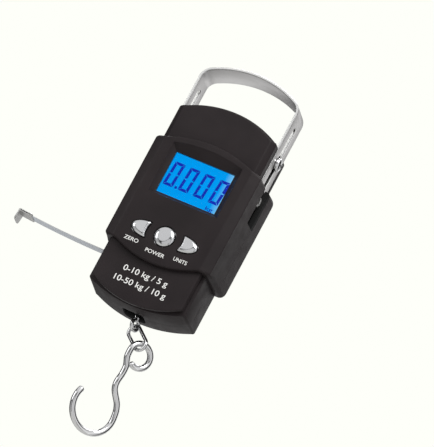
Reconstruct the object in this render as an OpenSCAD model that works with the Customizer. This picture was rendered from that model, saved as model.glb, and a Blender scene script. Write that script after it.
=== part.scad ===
// Handheld digital fish scale with a sliding steel handle, a hanging hook and a pull-out tape.
// Sizes are in millimetres. Shapes are laid out from the middle of the case: x to the right,
// y from the front face to the back, z up. placed() then moves the origin to the handle's grip.

/* [Case] */
// Width across the wings at the back
case_w = 71; // [69:0.5:73]
// Depth from the front face to the back face
case_d = 33; // [33:0.5:36]
// Depth at which the front cover meets the rear cover
split_y = 21.5; // [21:0.5:22]
// Half height of the raised middle block, at its sides
mid_half_h = 32; // [31:0.5:33]
// Top of the case
case_top = 61.5; // [60.5:0.5:63]
// Bottom of the case
case_bottom = -63.3; // [-64:0.1:-63]
// Thickness of the case walls
wall = 2; // [1.8:0.1:2.2]

/* [Display] */
// Width of the visible display
view_w = 36.2; // [34:0.1:37]
// Height of the visible display
view_h = 25.2; // [24:0.1:26]

/* [Keys] */
// Diameter of the round centre key
key_d = 12; // [11:0.5:12.5]
// How far the keys stand out of the front face
key_proud = 1.6; // [1:0.1:2]

/* [Handle] */
// Width across the outside of the strap's arms
strap_w = 61; // [60.6:0.1:61.2]
// Width of the strap from front to back
strap_depth = 18.5; // [17:0.5:18.5]
// Thickness of the strap
strap_t = 1.5; // [1.3:0.1:1.5]
// Height of the underside of the grip above the middle of the case
grip_z = 87.3; // [84:0.1:90]
// How far the handle slides into the case
handle_travel = 12; // [8:0.5:12]

/* [Hook] */
// Diameter of the hook's wire
hook_wire = 3.5; // [3:0.1:3.6]
// Mean radius of the hook's bend
hook_r = 13.4; // [12:0.1:14]
// Diameter of the link's wire
link_wire = 2; // [1.8:0.1:2.1]

/* [Tape] */
// Width of the tape blade
tape_w = 8; // [7:0.5:8]
// Length of tape outside the case
tape_out = 53.4; // [30:1:60]
// Outer radius of the wound tape
coil_r = 9.8; // [9:0.1:9.8]

/* [Hidden] */
$fn = 64;

strap_y = 20;
inner_back = case_d - wall;
top_face_y = 2.75;
top_half_w = 30.8;
cavity_half_w = 27.2;
channel_floor = strap_w / 2 - strap_t - 0.3;
channel_half_d = strap_depth / 2 + 0.5;
pocket_out = strap_w / 2 + 0.4;
pocket_bottom = 6.9;

recess_half_w = 21.3;
recess_low = -0.6;
view_z = 14.4;
view_y = 2.7;
lip_y = 3.6;

key_z = -21.7;
key_r = key_d / 2;
key_gap = 0.3;
key_x = 15;
key_travel = 0.6;
key_ring_r = 10.9;

screw_spots = [[-13, 55], [13, 55], [-22, -49], [22, -49]];
screw_seat_y = 26;
board_y = 8.5;
board_t = 1.6;
board_spots = [[-22.2, 30], [22.2, 30], [-22.2, -30.6], [22.2, -30.6]];

arm_low = 19.5;
rivet_z = 23.5;
screw_z = 47.5;
screw_head_r = 4;
slot_low = 30;
slot_high = 71;
slot_r = 2.5;
top_r = 58;
bend_r = 8;

frame_y = 15;
frame_t = 1.5;
frame_half_w = 27;
cell_y = frame_y + frame_t;
cell_t = 4;
cell_half_w = 6;

pin_y = 21;
pin_z = -57.5;
pin_r = 1.5;
running = 0.05;

eye_tilt = 10.7;
eye_drop = 10.8;
eye_r = 3;
eye_wire_r = 1.1;
chain_turn = -23.5;
link_tilt = 53.3;
link_bend_r = 3.6;
link_len = 17.8;
link_gap = 2.25;
hook_turn = 45;
hook_ring_r = 6.8;
hook_hang = [1.7, 2.5, -3.6];

exit_x = -30.8;
exit_z = -34.7;
blade_t = 0.3;
blade_bend_r = 580;
tape_y = 26.6;
spool_z = exit_z + blade_t / 2 + 0.05 + coil_r;
housing_in_r = 11.2;
housing_r = 12.4;
housing_front = 21.9;

cell_d = 10.5;
cell_len = 44.5;
nub_h = 1.2;
plate_t = 0.4;
bay_x = 14.8;
bay_y = 25.5;
bay_low = -10.2;
bay_high = 38.6;
door_low = -13;
door_high = 41;
door_half_w = 22;
door_y = 31.2;
door_lip = 1.6;

black = "#222222";
steel = "#b9bbbd";
chrome = "#d6d8da";
tin = "#c4c4c0";

// ---------- shared shapes ----------

module placed()
    translate([0, -strap_y, -grip_z]) children();

// A flat outline in x and z, made solid from depth y0 to depth y1.
module facing(y0, y1)
    translate([0, y1, 0]) rotate([90, 0, 0]) linear_extrude(y1 - y0) children();

// A disc with its axis from front to back.
module disc(x, z, r, y0, y1)
    translate([x, y0, z]) rotate([-90, 0, 0]) cylinder(h = y1 - y0, r = r);

// A disc with its axis from left to right.
module side_disc(x0, x1, y, z, r)
    translate([x0, y, z]) rotate([0, 90, 0]) cylinder(h = x1 - x0, r = r);

module box(low, high)
    translate(low) cube(high - low);

module rounded_rect(w, h, r) {
    square([w - 2 * r, h], center = true);
    square([w, h - 2 * r], center = true);
    for (sx = [-1, 1], sz = [-1, 1])
        translate([sx * (w / 2 - r), sz * (h / 2 - r)]) circle(r);
}

module both_sides()
    for (side = [0, 1]) mirror([side, 0, 0]) children();

// A slot that runs along z, cut from left to right.
module upright_slot(x0, x1, y, z0, z1, r) {
    side_disc(x0, x1, y, z0 + r, r);
    side_disc(x0, x1, y, z1 - r, r);
    box([x0, y - r, z0 + r], [x1, y + r, z1 - r]);
}

function unit(v) = v / norm(v);
function step_at(p, i) = unit(p[min(i + 1, len(p) - 1)] - p[max(i - 1, 0)]);
function square_to(n, t) = unit(n - (n * t) * t);

// A round wire along the points p. radii holds the wire's radius at each point.
module wire(p, radii, sides, normal) {
    count = len(p);
    frames = [for (i = 0, n = square_to(normal, step_at(p, 0)); i < count;
        i = i + 1, n = i < count ? square_to(n, step_at(p, i)) : n) n];
    rings = [for (i = [0:count - 1], k = [0:sides - 1])
        let (a = 360 * k / sides, t = step_at(p, i))
        p[i] + radii[i] * (cos(a) * frames[i] + sin(a) * cross(t, frames[i]))];
    skin = [for (i = [0:count - 2], k = [0:sides - 1]) let (j = (k + 1) % sides)
        [i * sides + k, (i + 1) * sides + k, (i + 1) * sides + j, i * sides + j]];
    start = [[for (k = [0:sides - 1]) k]];
    finish = [[for (k = [sides - 1:-1:0]) (count - 1) * sides + k]];
    polyhedron(points = rings, faces = concat(skin, start, finish));
}

function spline_point(a, b, c, d, t) = 0.5 * (2 * b + (c - a) * t
    + (2 * a - 5 * b + 4 * c - d) * t * t + (3 * b - a - 3 * c + d) * t * t * t);
function spline(p, steps) = concat([for (i = [0:len(p) - 2], k = [0:steps - 1])
    spline_point(p[max(i - 1, 0)], p[i], p[i + 1], p[min(i + 2, len(p) - 1)], k / steps)],
    [p[len(p) - 1]]);

module lead(p, r)
    wire(spline(p, 3), [for (i = [0:3 * (len(p) - 1)]) r], 8, [0, 0, 1]);

// ---------- case ----------

module mid_outline(inset = 0) {
    rounded_rect(case_w - 2 * inset, 2 * (mid_half_h - inset), 3);
    intersection() {
        translate([0, mid_half_h + 5.5 - 71]) circle(71 - inset, $fn = 180);
        translate([-27, 0]) square([54, 60]);
    }
    intersection() {
        translate([0, 53.5 - 6.5 - mid_half_h]) circle(53.5 - inset, $fn = 180);
        translate([-25, -60]) square([50, 60]);
    }
}

module mid_section()
    polygon([[-26.9, 0], [26.9, 0], [32.4, 2.5], [case_w / 2, case_d - 2],
        [case_w / 2 - 2, case_d], [2 - case_w / 2, case_d], [-case_w / 2, case_d - 2], [-32.4, 2.5]]);

module mid_block()
    intersection() {
        facing(0, case_d) mid_outline();
        translate([0, 0, -60]) linear_extrude(120) mid_section();
    }

module end_section(face_half_w, shoulder)
    polygon([[-face_half_w, top_face_y], [face_half_w, top_face_y], shoulder,
        [top_half_w, case_d - 2], [top_half_w - 1.5, case_d], [1.5 - top_half_w, case_d],
        [-top_half_w, case_d - 2], [-shoulder[0], shoulder[1]]]);

module top_block()
    intersection() {
        union() {
            translate([0, top_face_y, case_top - 59.2]) rotate([-90, 0, 0])
                cylinder(h = 3.25, r1 = 57.7, r2 = 59.2, $fn = 180);
            disc(0, case_top - 59.2, 59.2, top_face_y + 3.25, case_d, $fn = 180);
        }
        translate([0, 0, 20]) linear_extrude(60) end_section(27, [30, 6]);
    }

module bottom_block()
    intersection() {
        union() {
            disc(0, case_bottom + 53.6, 53.5, top_face_y, 5.2, $fn = 180);
            disc(0, case_bottom + 53.6, 52.3, 5.2, 6.7, $fn = 180);
            disc(0, case_bottom + 73, 73, 6.7, case_d, $fn = 180);
        }
        translate([0, 0, -80]) linear_extrude(60) end_section(27.5, [29.3, 6.5]);
    }

module cavity() {
    intersection() {
        disc(0, case_top - 59.2, 57.2, 4.75, inner_back, $fn = 180);
        box([-cavity_half_w, 0, 20], [cavity_half_w, case_d, 80]);
    }
    box([-cavity_half_w, wall, -30], [cavity_half_w, inner_back, 30]);
    box([-31, 4.5, -30], [31, inner_back, 4]);
    intersection() {
        disc(0, case_bottom + 53.6, 51, 4.75, inner_back, $fn = 180);
        box([-26.5, 0, -80], [26.5, case_d, -20]);
    }
}

module strap_space() {
    both_sides() {
        box([channel_floor, strap_y - channel_half_d, pocket_bottom],
            [pocket_out, strap_y + channel_half_d, 70]);
        box([channel_floor, strap_y - channel_half_d, mid_half_h - 0.01],
            [40, strap_y + channel_half_d, 70]);
        box([pocket_out - 0.1, 15.5, 8], [40, 23.5, 40]);
        upright_slot(20, channel_floor + 1, strap_y, rivet_z - handle_travel - 1.9, rivet_z + 1.9, 1.8);
        side_disc(20, 40, strap_y, screw_z, 1.8);
    }
}

module eye_opening()
    box([-7.8, 17, -80], [4.4, 27, -55]);

module display_recess() {
    hull() {
        facing(-0.1, 0) recess_outline(0);
        facing(view_y, view_y + 0.01) view_outline(0.4);
    }
    facing(0, lip_y + 0.1) view_outline(0);
}

module recess_outline(grow) {
    intersection() {
        translate([0, 33.5 - 82]) circle(82 + grow, $fn = 128);
        translate([-recess_half_w - grow, recess_low - grow])
            square([2 * (recess_half_w + grow), 40]);
    }
}

module view_outline(grow)
    translate([0, view_z]) square([view_w + 2 * grow, view_h + 2 * grow], center = true);

// Outline of the left key, around its own middle. grow moves its edge outward.
module side_key_outline(grow)
    difference() {
        polygon([for (a = [0:6:354]) [4.6 + (9.9 + grow) * cos(a), (4.9 + grow) * sin(a)]]);
        translate([key_x, 0]) circle(key_ring_r - grow, $fn = 96);
    }

module key_holes() {
    disc(0, key_z, key_r + key_gap, -1, 6);
    both_sides() translate([-key_x, 0, key_z]) facing(-1, 6) side_key_outline(key_gap);
}

module cover_stock()
    difference() {
        union() {
            difference() {
                union() {
                    mid_block();
                    top_block();
                    bottom_block();
                }
                cavity();
            }
            box([-recess_half_w - 1.5, wall / 2, recess_low - 1.6], [recess_half_w + 1.5, lip_y, 31]);
        }
        strap_space();
        eye_opening();
    }

module front_cover()
    color(black) placed() difference() {
        union() {
            intersection() {
                cover_stock();
                box([-50, -1, -80], [50, split_y, 80]);
            }
            for (p = screw_spots) disc(p[0], p[1], 2.5, 4, split_y);
            for (p = board_spots) disc(p[0], p[1], 1.8, wall - 0.1, board_y);
        }
        display_recess();
        key_holes();
        for (p = screw_spots) disc(p[0], p[1], 1.3, 10.5, split_y + 1);
        for (p = board_spots) disc(p[0], p[1], 0.9, 4.5, board_y + 1);
    }

module bay_walls() {
    for (s = [-1, 1]) difference() {
        box([s * bay_x - 6.2, 18.9, bay_low - 1], [s * bay_x + 6.2, inner_back + 0.1, bay_high + 1]);
        box([s * bay_x - 5.5, 19.7, bay_low], [s * bay_x + 5.5, case_d, bay_high]);
    }
    box([-8.7, 24, bay_low - 1], [8.7, 25, bay_high + 1]);
    for (z = [bay_low - 1, bay_high])
        box([-door_half_w + 0.5, 24, z], [door_half_w - 0.5, inner_back + 0.1, z + 1]);
}

module rear_cover()
    color(black) placed() difference() {
        union() {
            intersection() {
                cover_stock();
                box([-50, split_y, -80], [50, 50, 80]);
            }
            for (p = screw_spots) disc(p[0], p[1], 3.9, split_y, inner_back + 0.1);
            bay_walls();
        }
        box([-door_half_w, door_y, door_low], [door_half_w, 50, door_high]);
        box([-door_half_w + door_lip, 28, door_low + door_lip],
            [door_half_w - door_lip, 32, door_high - door_lip]);
        for (p = screw_spots) {
            disc(p[0], p[1], 3, screw_seat_y, 50);
            disc(p[0], p[1], 1.3, 20, 30);
        }
        box([-40, tape_y - tape_w / 2 - 1.2, exit_z - 1.7], [-25, tape_y + tape_w / 2 + 0.4, exit_z + 1.7]);
    }

module battery_door()
    color(black) placed() difference() {
        union() {
            box([-door_half_w + 0.3, door_y + 0.05, door_low + 0.3],
                [door_half_w - 0.3, case_d, door_high - 0.3]);
            box([-8, door_y - 1.5, door_low + door_lip + 0.1], [8, door_y + 0.1, door_low + door_lip + 1]);
        }
        for (i = [0:3]) box([-8, case_d - 0.6, 28 + 2.4 * i], [8, case_d + 1, 29.2 + 2.4 * i]);
    }

module case_screws()
    color(tin) placed() for (p = screw_spots) difference() {
        union() {
            disc(p[0], p[1], 2.5, screw_seat_y, screw_seat_y + 1.6);
            disc(p[0], p[1], 1.3, 11, screw_seat_y + 0.1);
        }
        cross_recess(p[0], p[1], screw_seat_y + 1.6, 0.9);
    }

// A cross recess in a screw head that faces the back.
module cross_recess(x, z, y, depth)
    for (q = [[1.5, 0.3], [0.3, 1.5]])
        box([x - q[0], y - depth, z - q[1]], [x + q[0], y + 1, z + q[1]]);

// ---------- handle ----------

module strap_outline(inset) {
    half = strap_w / 2 - inset;
    big = top_r - inset;
    small = bend_r - inset;
    bend_x = strap_w / 2 - bend_r;
    centre_z = grip_z + strap_t - top_r;
    bend_z = centre_z + sqrt(pow(top_r - bend_r, 2) - bend_x * bend_x);
    translate([-half, 0]) square([2 * half, bend_z]);
    for (s = [-1, 1]) translate([s * bend_x, bend_z]) circle(small, $fn = 96);
    intersection() {
        translate([0, centre_z]) circle(big, $fn = 240);
        polygon([[0, centre_z], [2 * bend_x, 2 * bend_z - centre_z], [-2 * bend_x, 2 * bend_z - centre_z]]);
    }
}

module handle_strap()
    color(steel) placed() difference() {
        facing(strap_y - strap_depth / 2, strap_y + strap_depth / 2) difference() {
            strap_outline(0);
            strap_outline(strap_t);
        }
        box([-50, 0, -10], [50, 50, arm_low]);
        both_sides() {
            upright_slot(25, 35, strap_y, slot_low, slot_high, slot_r);
            side_disc(25, 35, strap_y, rivet_z, 1.5);
        }
    }

module handle_rivets()
    color(tin) placed() both_sides() {
        side_disc(strap_w / 2, strap_w / 2 + 1.5, strap_y, rivet_z, 3);
        side_disc(frame_half_w - strap_t - 0.3, strap_w / 2 + 0.1, strap_y, rivet_z, 1.5);
        side_disc(frame_half_w - strap_t - 1.3, frame_half_w - strap_t - 0.2, strap_y, rivet_z, 2.6);
    }

module handle_screws()
    color(chrome) placed() both_sides() difference() {
        union() {
            side_disc(strap_w / 2 + 0.3, strap_w / 2 + 1.5, strap_y, screw_z, screw_head_r);
            translate([strap_w / 2 + 1.5, strap_y, screw_z]) rotate([0, 90, 0])
                cylinder(h = 1.3, r1 = screw_head_r, r2 = screw_head_r - 1.6);
            side_disc(channel_floor, strap_w / 2 + 0.4, strap_y, screw_z, 2.2);
            side_disc(24.5, channel_floor + 0.1, strap_y, screw_z, 1.5);
        }
        for (q = [[2.2, 0.4], [0.4, 2.2]])
            box([strap_w / 2 + 1.6, strap_y - q[0], screw_z - q[1]], [40, strap_y + q[0], screw_z + q[1]]);
    }

// ---------- display ----------

module display_window()
    color("#3a7fa8") placed() {
        facing(view_y + 0.3, lip_y) view_outline(-0.15);
        facing(lip_y, lip_y + 0.8) view_outline(1.4);
    }

module lcd_glass()
    color("#0080e0") placed() {
        box([-19.6, 4.5, -0.4], [19.6, 5.5, 29.2]);
        box([-19.6, 5.5, 0.8], [19.6, 6.2, 28.4]);
    }

module backlight()
    color("white") placed() box([-19.2, 6.25, 3.2], [19.2, 8.4, 26.4]);

module backlight_led()
    color("#dff4ff") placed() box([19.3, 6.6, 13], [20.5, 8.2, 17]);

module zebra_strips()
    color("#c97a9a") placed() for (z = [0.1, 28.5])
        box([-18, 6.25, z], [18, 8.45, z + 0.65]);

// ---------- electronics ----------

module main_board()
    color("#1f6b3a") placed() difference() {
        box([-24, board_y, -33], [24, board_y + board_t, 32]);
        for (p = board_spots) disc(p[0], p[1], 1.05, 5, 20);
    }

module chip_blob()
    color("#151515") placed() translate([-7, board_y + board_t, 8]) rotate([-90, 0, 0])
        cylinder(h = 1.5, r1 = 5, r2 = 3);

module board_parts() {
    back = board_y + board_t;
    color("#7d6a48") placed() {
        for (x = [4, 8, 12], z = [-2, 3]) box([x, back, z], [x + 2, back + 0.9, z + 1.2]);
        disc(9, 14, 2.5, back, back + 4);
        box([-20, back, -8], [-12, back + 2.2, -4]);
        box([12, back, -14], [20, back + 2.4, -8]);
    }
}

module dome_switches()
    color(tin) placed() for (x = [-key_x, 0, key_x]) {
        box([x - 3, board_y - 0.8, key_z - 3], [x + 3, board_y, key_z + 3]);
        disc(x, key_z, 1.8, board_y - 1.2, board_y - 0.7);
    }

module board_screws()
    color(tin) placed() for (p = board_spots) difference() {
        union() {
            disc(p[0], p[1], 1.7, board_y + board_t, board_y + board_t + 1.1);
            disc(p[0], p[1], 0.9, 5, board_y + board_t + 0.1);
        }
        box([p[0] - 1.2, board_y + board_t + 0.6, p[1] - 0.25], [p[0] + 1.2, 20, p[1] + 0.25]);
    }

// ---------- keys ----------

module key_stem()
    disc(0, 0, 1.6, 2.8, board_y - 1.2 - key_travel - 0.2);

module side_key() {
    facing(-key_proud + 0.6, 2.4) side_key_outline(0);
    hull() {
        facing(-key_proud + 0.6, -key_proud + 0.7) side_key_outline(-0.02);
        facing(-key_proud, -key_proud + 0.1) side_key_outline(-0.9);
    }
    facing(wall + 0.15, wall + 1) side_key_outline(0.9);
    key_stem();
}

module tare_key()
    color(chrome) placed() translate([-key_x, 0, key_z]) side_key();

module power_key()
    color(chrome) placed() translate([0, 0, key_z]) {
        translate([0, -key_proud, 0]) rotate([-90, 0, 0]) cylinder(h = 0.8, r1 = key_r - 1.4, r2 = key_r);
        disc(0, 0, key_r, -key_proud + 0.8, 2.4);
        disc(0, 0, key_r + 0.9, wall + 0.15, wall + 1);
        key_stem();
    }

module unit_key()
    color(chrome) placed() translate([key_x, 0, key_z]) mirror([1, 0, 0]) side_key();

// ---------- weighing ----------

module load_frame()
    color(steel) placed() difference() {
        union() {
            box([-frame_half_w, frame_y, 40], [frame_half_w, frame_y + frame_t, 52]);
            both_sides() {
                box([frame_half_w - frame_t, 13.5, 8], [frame_half_w, 26.5, 52]);
                side_disc(24, frame_half_w - 0.1, strap_y, screw_z, 3.2);
            }
        }
        both_sides() {
            upright_slot(20, 30, strap_y, rivet_z - handle_travel - 1.75, rivet_z + 1.55, 1.65);
            side_disc(20, 30, strap_y, screw_z, 1.5);
        }
        for (z = [43, 49]) disc(0, z, 1.5, 10, 20);
    }

module load_cell()
    color("#c9ccd0") placed() difference() {
        union() {
            box([-cell_half_w, cell_y, -50], [cell_half_w, cell_y + cell_t, 51.5]);
            box([-5, cell_y, pin_z + 1], [5, 25.2, -49]);
            disc(0, pin_z, 2.7, cell_y, 25.2);
            box([-2.7, cell_y, pin_z], [2.7, 25.2, pin_z + 2]);
        }
        box([-6, pin_y - 1.8, -70], [6, pin_y + 1.8, pin_z + 4]);
        disc(0, pin_z, pin_r, 10, 30);
        for (z = [43, 49]) disc(0, z, 1.5, 10, 20);
        for (z = [0, 16]) disc(0, z, 3.2, 10, 30);
        box([-3.2, 10, 0], [3.2, 30, 16]);
        box([0, 10, 21], [10, 30, 22.5]);
        box([-10, 10, -6.5], [0, 30, -5]);
    }

module load_cell_screws()
    color(tin) placed() for (z = [43, 49]) difference() {
        union() {
            disc(0, z, 2.6, frame_y - 1.8, frame_y);
            disc(0, z, 1.5, frame_y - 0.1, 20);
        }
        cross_recess_front(0, z, frame_y - 1.8);
    }

// A cross recess in a screw head that faces the front.
module cross_recess_front(x, z, y)
    for (q = [[1.6, 0.3], [0.3, 1.6]])
        box([x - q[0], y - 1, z - q[1]], [x + q[0], y + 0.9, z + q[1]]);

module strain_gauges()
    color("#b5793a") placed() both_sides() for (z = [1, 11])
        box([cell_half_w, cell_y + 1, z], [cell_half_w + 0.3, cell_y + 3, z + 4]);

module eye_pin()
    color(steel) placed() disc(0, pin_z, pin_r, cell_y - 0.4, 25.6);

// ---------- hook end ----------

// The eye lug, with its pin hole at the origin. It hangs along -z.
module eye_shape()
    difference() {
        union() {
            disc(0, 0, 2.5, -1.5, 1.5);
            box([-1.5, -1.5, -6], [1.5, 1.5, 0]);
            translate([0, 0, -eye_drop + eye_r]) cylinder(h = 5, r = 1.5);
            translate([0, 0, -eye_drop]) rotate([0, 0, chain_turn]) rotate([0, 90, 0])
                rotate_extrude() translate([eye_r, 0]) circle(eye_wire_r, $fn = 32);
        }
        disc(0, 0, pin_r + running, -10, 10);
    }

module hook_eye()
    color(chrome) placed() translate([0, pin_y, pin_z]) rotate([0, -eye_tilt, 0]) eye_shape();

function eye_foot() = [(eye_drop + eye_r) * sin(eye_tilt), pin_y, pin_z - (eye_drop + eye_r) * cos(eye_tilt)];

module link_shape() {
    leg = link_len - 2 * link_bend_r;
    translate([0, 0, link_gap - link_bend_r]) {
        for (s = [-1, 1]) translate([s * link_bend_r, 0, -leg]) cylinder(h = leg, r = link_wire / 2, $fn = 32);
        rotate([90, 0, 0]) rotate_extrude(angle = 180)
            translate([link_bend_r, 0]) circle(link_wire / 2, $fn = 32);
        translate([0, 0, -leg]) rotate([-90, 0, 0]) rotate_extrude(angle = 180)
            translate([link_bend_r, 0]) circle(link_wire / 2, $fn = 32);
    }
}

module hook_link()
    color(chrome) placed() translate(eye_foot())
        rotate([0, 0, chain_turn]) rotate([0, -link_tilt, 0]) link_shape();

function link_reach() = link_len - link_gap;
function link_foot() = eye_foot() + link_reach()
    * [sin(link_tilt) * cos(chain_turn), sin(link_tilt) * sin(chain_turn), -cos(link_tilt)];

function arc(centre, r, from, to, count) = [for (i = [0:count])
    let (a = from + (to - from) * i / count) centre + r * [cos(a), sin(a)]];

// The hook's wire in its own plane, from the start of its ring to its tip.
shank_points = [[-6.8, -1], [-6.4, -4.6], [-4.4, -9], [-4.2, -14], [-4.8, -19.4], [-3.8, -23.4],
    [-1.3, -26.4], [1.4, -29.3], [3.2, -33.1], [4, -37.6]];
bend_centre = [4.1 - hook_r, -39.3];
hook_path = concat(arc([0, 0], hook_ring_r, -116, 176, 28), spline(shank_points, 3),
    arc(bend_centre, hook_r, 0, -206, 26));

module hook() {
    count = len(hook_path);
    dome = [0.35, 0.75, 0.95];
    radii = [for (i = [0:count - 1]) let (left = min(i, count - 1 - i))
        hook_wire / 2 * (left < 3 ? dome[left] : 1)];
    points = [for (q = hook_path) [q[0], 0, q[1]]];
    color(chrome) placed() translate(link_foot()) rotate([0, 0, hook_turn])
        translate(hook_hang) wire(points, radii, 16, [0, 1, 0]);
}

// ---------- tape ----------

slide_angle = tape_out / blade_bend_r / 2 * 180 / PI;
tip_angle = 2 * slide_angle;

// The blade runs straight from the drum to the slot, and then curls up along an arc.
module tape_blade() {
    steps = 12;
    edge = function(side) concat([[-4, exit_z + side * blade_t / 2]],
        [for (i = [0:steps]) let (a = tip_angle * i / steps, r = blade_bend_r - side * blade_t / 2)
            [exit_x - r * sin(a), exit_z + blade_bend_r - r * cos(a)]]);
    low = edge(-1);
    color("#e8e6df") placed() facing(tape_y - tape_w / 2, tape_y + tape_w / 2)
        polygon(concat(edge(1), [for (i = [len(low) - 1:-1:0]) low[i]]));
}

// Places its children at the free end of the blade, with +x pointing back along the blade.
module at_blade_end()
    translate([exit_x, tape_y, exit_z + blade_bend_r]) rotate([0, tip_angle, 0])
        translate([0, 0, -blade_bend_r]) children();

module tape_end_hook()
    color(steel) placed() at_blade_end() difference() {
        union() {
            box([-5.5, -4.5, -0.65], [3, 4.5, 0.65]);
            box([-5.5, -4.5, -4.5], [-4.7, 4.5, 0]);
            for (s = [-1, 1]) translate([-5.5, s * 3, -4.5]) rotate([0, 90, 0]) cylinder(h = 0.8, r = 1.5);
            box([-5.5, -3, -6], [-4.7, 3, -4]);
        }
        box([-0.2, -4.2, -0.17], [3.1, 4.2, 0.17]);
        for (s = [-1, 1]) translate([1.5, s * 2.2, -2]) cylinder(h = 4, r = 0.6);
    }

module tape_end_rivets()
    color(tin) placed() at_blade_end() for (s = [-1, 1]) translate([1.5, s * 2.2, 0]) {
        translate([0, 0, 0.18]) cylinder(h = 0.5, r = 0.6);
        translate([0, 0, 0.65]) cylinder(h = 0.3, r = 1);
    }

module tape_coil()
    color("#e8e6df") placed() difference() {
        disc(0, spool_z, coil_r, tape_y - tape_w / 2, tape_y + tape_w / 2);
        disc(0, spool_z, 6, 10, 40);
    }

module tape_spool()
    color("#e5dcc5") placed() difference() {
        disc(0, spool_z, 5.95, tape_y - tape_w / 2 + 0.1, tape_y + tape_w / 2);
        disc(0, spool_z, 4.9, 10, tape_y + tape_w / 2 - 1);
        disc(0, spool_z, pin_r + running, 10, 40);
    }

module spool_axle()
    color(steel) placed() disc(0, spool_z, pin_r, housing_front, inner_back);

module recoil_spring() {
    turns = 5;
    steps = 24;
    inner = 1.9;
    pitch = 0.55;
    half_t = 0.1;
    spiral = [for (i = [0:turns * steps]) let (a = 360 * i / steps, r = inner + pitch * i / steps)
        [r * cos(a), r * sin(a), a]];
    outside = [for (q = spiral) [q[0] + half_t * cos(q[2]), q[1] + half_t * sin(q[2])]];
    inside = [for (i = [len(spiral) - 1:-1:0]) let (q = spiral[i])
        [q[0] - half_t * cos(q[2]), q[1] - half_t * sin(q[2])]];
    color("#70757a") placed() translate([0, 0, spool_z]) facing(23.4, 28.6)
        polygon(concat(outside, inside));
}

module tape_housing()
    color("#3a3a3a") placed() difference() {
        disc(0, spool_z, housing_r, housing_front, inner_back);
        disc(0, spool_z, housing_in_r, housing_front + 0.5, 40);
        disc(0, spool_z, pin_r, 10, 40);
        box([-20, tape_y - tape_w / 2 - 0.3, exit_z - 0.6], [0, inner_back + 1, exit_z + 0.8]);
    }

module tape_slot_guide()
    color(steel) placed() difference() {
        box([-28.4, tape_y - 4.9, exit_z - 1.6], [-25.2, tape_y + 4.3, exit_z + 1.6]);
        box([-30, tape_y - 4.3, exit_z - 0.5], [-20, tape_y + 4.35, exit_z + 0.5]);
    }

// ---------- power ----------

// Each cell stands with its nub against a plate and its flat end on a spring.
module in_bays()
    for (s = [-1, 1]) translate([s * bay_x, bay_y, (bay_low + bay_high) / 2]) mirror([0, 0, s < 0 ? 0 : 1])
        children();

nub_top = (bay_high - bay_low) / 2 - plate_t - 0.02;

module battery_cells()
    color("#4a6a9a") placed() in_bays() {
        translate([0, 0, nub_top - cell_len]) cylinder(h = cell_len - nub_h, r = cell_d / 2 - 0.05);
        translate([0, 0, nub_top - nub_h - 0.1]) cylinder(h = nub_h + 0.1, r = 1.9);
    }

module battery_springs() {
    turns = 3.5;
    steps = 12;
    wire_r = 0.25;
    low = -nub_top + wire_r + 0.02;
    high = nub_top - cell_len - wire_r - 0.02;
    coil = [for (i = [0:turns * steps]) let (f = i / turns / steps)
        [(4 - 1.6 * f) * cos(360 * i / steps), (4 - 1.6 * f) * sin(360 * i / steps), low + f * (high - low)]];
    color(tin) placed() in_bays() wire(coil, [for (q = coil) wire_r], 6, [0, 0, 1]);
}

module battery_plates()
    color(tin) placed() in_bays() for (s = [-1, 1])
        translate([0, 0, s * (nub_top + 0.02 + plate_t / 2)]) cube([9, 9, plate_t], center = true);

module battery_leads()
    color("#b02020") placed() for (s = [-1, 1])
        lead([[s * 21.7, 24, 36], [s * 22.8, 20, 35], [s * 23.2, 16, 32], [s * 22.6, 13.5, 27],
            [s * 21, 12.5, 23], [s * 18.5, 11.6, 21], [s * 17, 10.7, 20]], 0.5);

module sensor_leads()
    color("#2a8a4a") placed() for (s = [-1, 1])
        lead([[s * 6.9, 18.5, 3], [s * 7.6, 17, 2], [s * 7.8, 15, -1], [s * 7.6, 13, -5],
            [s * 7, 11.5, -7], [s * 6.5, 10.6, -8]], 0.4);

front_cover();
rear_cover();
battery_door();
case_screws();
handle_strap();
handle_rivets();
handle_screws();
display_window();
lcd_glass();
backlight();
backlight_led();
zebra_strips();
main_board();
chip_blob();
board_parts();
dome_switches();
board_screws();
tare_key();
power_key();
unit_key();
load_frame();
load_cell();
load_cell_screws();
strain_gauges();
eye_pin();
hook_eye();
hook_link();
hook();
tape_blade();
tape_end_hook();
tape_end_rivets();
tape_coil();
tape_spool();
spool_axle();
recoil_spring();
tape_housing();
tape_slot_guide();
battery_cells();
battery_springs();
battery_plates();
battery_leads();
sensor_leads();
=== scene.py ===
import math

import bmesh
import bpy
from mathutils import Matrix, Vector


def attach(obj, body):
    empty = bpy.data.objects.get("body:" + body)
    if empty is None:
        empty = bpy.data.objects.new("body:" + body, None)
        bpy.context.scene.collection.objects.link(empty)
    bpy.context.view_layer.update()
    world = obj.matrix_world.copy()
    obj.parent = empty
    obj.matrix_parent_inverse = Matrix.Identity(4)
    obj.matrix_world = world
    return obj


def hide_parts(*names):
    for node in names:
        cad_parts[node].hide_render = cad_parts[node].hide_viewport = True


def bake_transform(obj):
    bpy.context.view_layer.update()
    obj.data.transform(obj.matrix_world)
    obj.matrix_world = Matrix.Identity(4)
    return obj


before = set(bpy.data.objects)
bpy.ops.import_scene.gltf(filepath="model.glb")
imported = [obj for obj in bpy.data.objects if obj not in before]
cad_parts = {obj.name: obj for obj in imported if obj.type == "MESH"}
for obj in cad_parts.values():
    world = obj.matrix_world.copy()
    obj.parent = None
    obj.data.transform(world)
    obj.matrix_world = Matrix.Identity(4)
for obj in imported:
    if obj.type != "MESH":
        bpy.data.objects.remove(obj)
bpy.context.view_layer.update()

MM = 0.001
DEPTH0, GRIP_Z = 20.0, 87.3        # the case layout's offset from the frame's origin


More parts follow.
